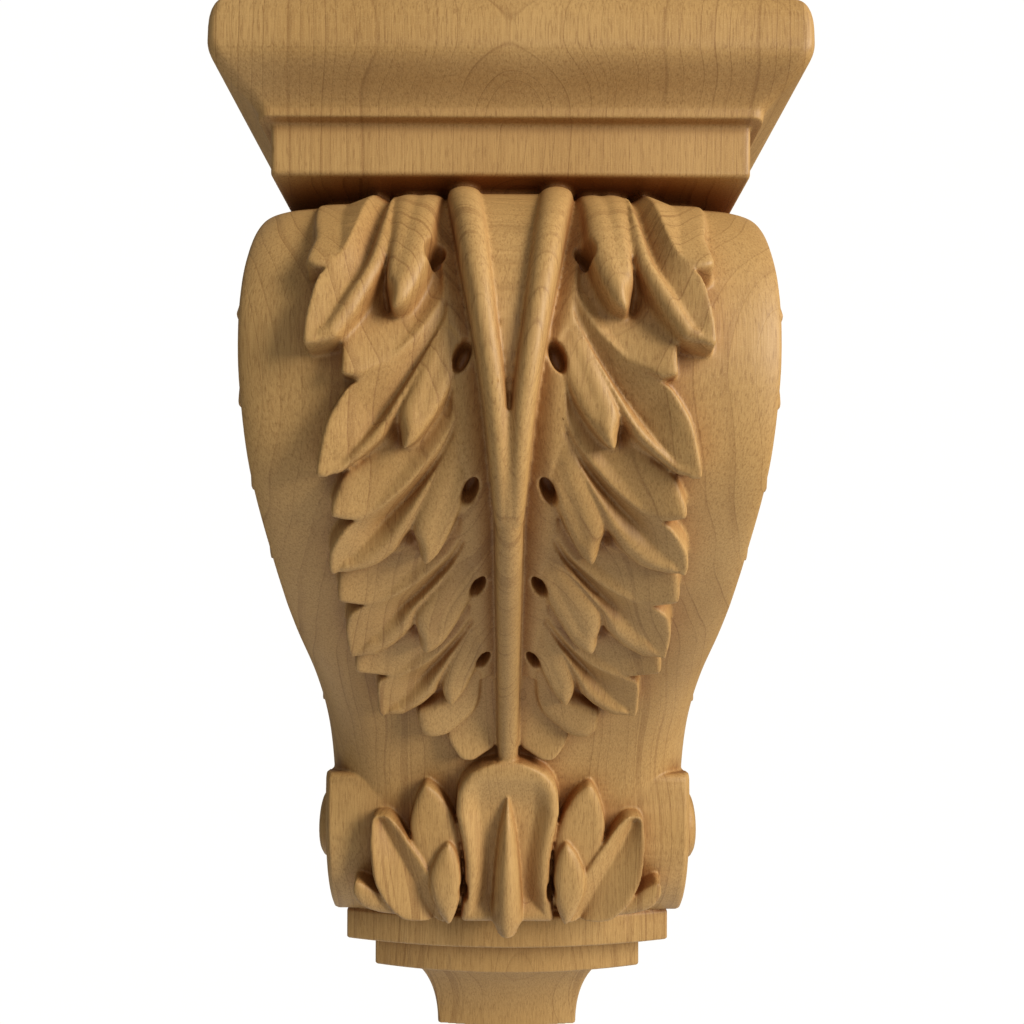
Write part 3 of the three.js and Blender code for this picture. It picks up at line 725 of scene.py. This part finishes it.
def tinted(colour, tint, share):
    return Grain.node("ShaderNodeMix", {"data_type": "RGBA", "blend_type": "MIX"},
                      {0: share, 6: colour, 7: tint}, 2)


spot = Grain.node("ShaderNodeTexCoord", {}, {}, "Object")
level = Grain.node("ShaderNodeSeparateXYZ", {}, {0: spot}, "Z")
in_cap = Grain.node("ShaderNodeMath", {"operation": "GREATER_THAN"}, {0: level, 1: SOFFIT * MM})
drift = Grain.node("ShaderNodeVectorMath", {"operation": "SUBTRACT"},
                   {0: cloud(stretched(spot, 0.35), 24, 2, 1), 1: (0.5, 0.5, 0.5)})
wander = Grain.node("ShaderNodeVectorMath", {"operation": "SCALE"}, {0: drift, "Scale": 0.016})
grown = Grain.node("ShaderNodeVectorMath", {"operation": "ADD"}, {0: spot, 1: wander})
pith = Grain.node("ShaderNodeMix", {"data_type": "VECTOR"}, {0: in_cap, 4: BODY_PITH, 5: CAP_PITH}, 1)
tilt = Grain.node("ShaderNodeCombineXYZ", {}, {"Y": level * (1 - in_cap) * BODY_LEAN})
upright = Grain.node("ShaderNodeVectorMath", {"operation": "ADD"}, {0: grown, 1: tilt})
from_pith = Grain.node("ShaderNodeVectorMath", {"operation": "SUBTRACT"}, {0: upright, 1: pith})
radius = Grain.node("ShaderNodeVectorMath", {"operation": "LENGTH"},
                    {0: stretched(from_pith, 0.05)}, "Value")
year = radius * (1 / BODY_RINGS + in_cap * (1 / CAP_RINGS - 1 / BODY_RINGS)) + cloud(radius * 90, 1) * 4
ring = Grain.node("ShaderNodeMath", {"operation": "FRACT"}, {0: year})
late_wood = ramp(ring, [(0, 0), (0.6, 0), (0.88, 0.22), (0.955, 1), (1, 0.1)])
strong = ramp(cloud(stretched(spot, 0.5), 60), [(0.35, 0.3), (0.62, 1)])
fibre = cloud(stretched(spot, 0.04), 2200, 4)
fleck = ramp(cloud(stretched(spot, 0.1), 3000, 1), [(0.56, 0), (0.68, 1)])
speckle = cloud(spot, 3600, 1)
shade = cloud(stretched(spot, 0.4), 30, 2)

tone = tinted((0.54, 0.325, 0.118, 1), (0.45, 0.255, 0.082, 1), ramp(shade, [(0.3, 0), (0.7, 1)]))
tone = tinted(tone, (0.24, 0.11, 0.03, 1), ramp(fibre, [(0.42, 0), (0.7, 1)]) * 0.35)
tone = tinted(tone, (0.18, 0.07, 0.016, 1), late_wood * strong * 0.5)
tone = tinted(tone, (0.2, 0.085, 0.022, 1), fleck * 0.35)
tone = tinted(tone, (0.66, 0.44, 0.18, 1), ramp(speckle, [(0.5, 0), (0.75, 1)]) * 0.25)
# Painted shade: an ambient occlusion mask mixes a dark brown into the colour in recesses, standing in for
# shadow there.
openness = Grain.node("ShaderNodeAmbientOcclusion", {"samples": 6, "only_local": True},
                      {"Distance": 0.007}, "AO")
painted_recess_shade = ramp(openness, [(0.25, 0.95), (0.55, 0.6), (0.92, 0)])
shade_painted_tone = Grain.node("ShaderNodeMix", {"data_type": "RGBA", "blend_type": "MULTIPLY"},
                      {0: 1.0, 6: tone, 7: (0.5, 0.29, 0.17, 1)}, 2)
tinted(tone, shade_painted_tone, painted_recess_shade).feed("Base Color")
(0.46 + 0.12 * fibre).feed("Roughness")
Grain.node("ShaderNodeBump", {}, {
    "Strength": 0.25, "Distance": 0.0002, "Height": fibre + late_wood * -0.4}).feed("Normal")
surface.inputs["Specular IOR Level"].default_value = 0.3
corbel.data.materials.clear()
corbel.data.materials.append(wood)

# Setting: a plain pale floor well below, a white surround and soft studio light, the strongest from the
# upper right.
FLOOR_DROP = 1.2
FLOOR_HALF = 1.5
FLOOR_GLOW = 0.5
AMBIENT, WHITE = 0.16, 1.05

floor_z = BOTTOM * MM - FLOOR_DROP
floor_corners = [(x * FLOOR_HALF, y * FLOOR_HALF, floor_z) for x, y in ((-1, -1), (1, -1), (1, 1), (-1, 1))]
floor_mesh = bpy.data.meshes.new("floor")
floor_mesh.from_pydata(floor_corners, [], [(0, 1, 2, 3)])
floor = bpy.data.objects.new("floor", floor_mesh)
bpy.context.collection.objects.link(floor)
pale = bpy.data.materials.new("pale_floor")
pale.use_nodes = True
paint = pale.node_tree.nodes["Principled BSDF"].inputs
paint["Base Color"].default_value = (0.9, 0.9, 0.9, 1)
paint["Emission Color"].default_value = (1, 1, 1, 1)
paint["Emission Strength"].default_value = FLOOR_GLOW
floor_mesh.materials.append(pale)

world = bpy.data.worlds.new("studio")
bpy.context.scene.world = world
world.use_nodes = True
surround = world.node_tree.nodes["Background"]
surround.inputs["Color"].default_value = (1, 0.98, 0.95, 1)
seen = world.node_tree.nodes.new("ShaderNodeLightPath")
strength = world.node_tree.nodes.new("ShaderNodeMapRange")
strength.inputs["To Min"].default_value = AMBIENT
strength.inputs["To Max"].default_value = WHITE
world.node_tree.links.new(seen.outputs["Is Camera Ray"], strength.inputs["Value"])
world.node_tree.links.new(strength.outputs["Result"], surround.inputs["Strength"])
bpy.context.scene.view_settings.view_transform = "Standard"


def softbox(name, place, aim, power, width, height):
    light = bpy.data.lights.new(name, "AREA")
    light.shape = "RECTANGLE"
    light.energy = power
    light.size = width
    light.size_y = height
    light.color = (1, 0.97, 0.92)
    lamp = bpy.data.objects.new(name, light)
    bpy.context.collection.objects.link(lamp)
    lamp.location = place
    lamp.rotation_euler = (Vector(aim) - Vector(place)).to_track_quat("-Z", "Y").to_euler()


softbox("key_light", (0.85, -0.68, 0.36), (0, -0.05, 0), 15, 0.3, 0.7)
softbox("front_light", (0.1, -1.2, 0.4), (0, -0.05, 0.02), 1.6, 0.5, 0.5)
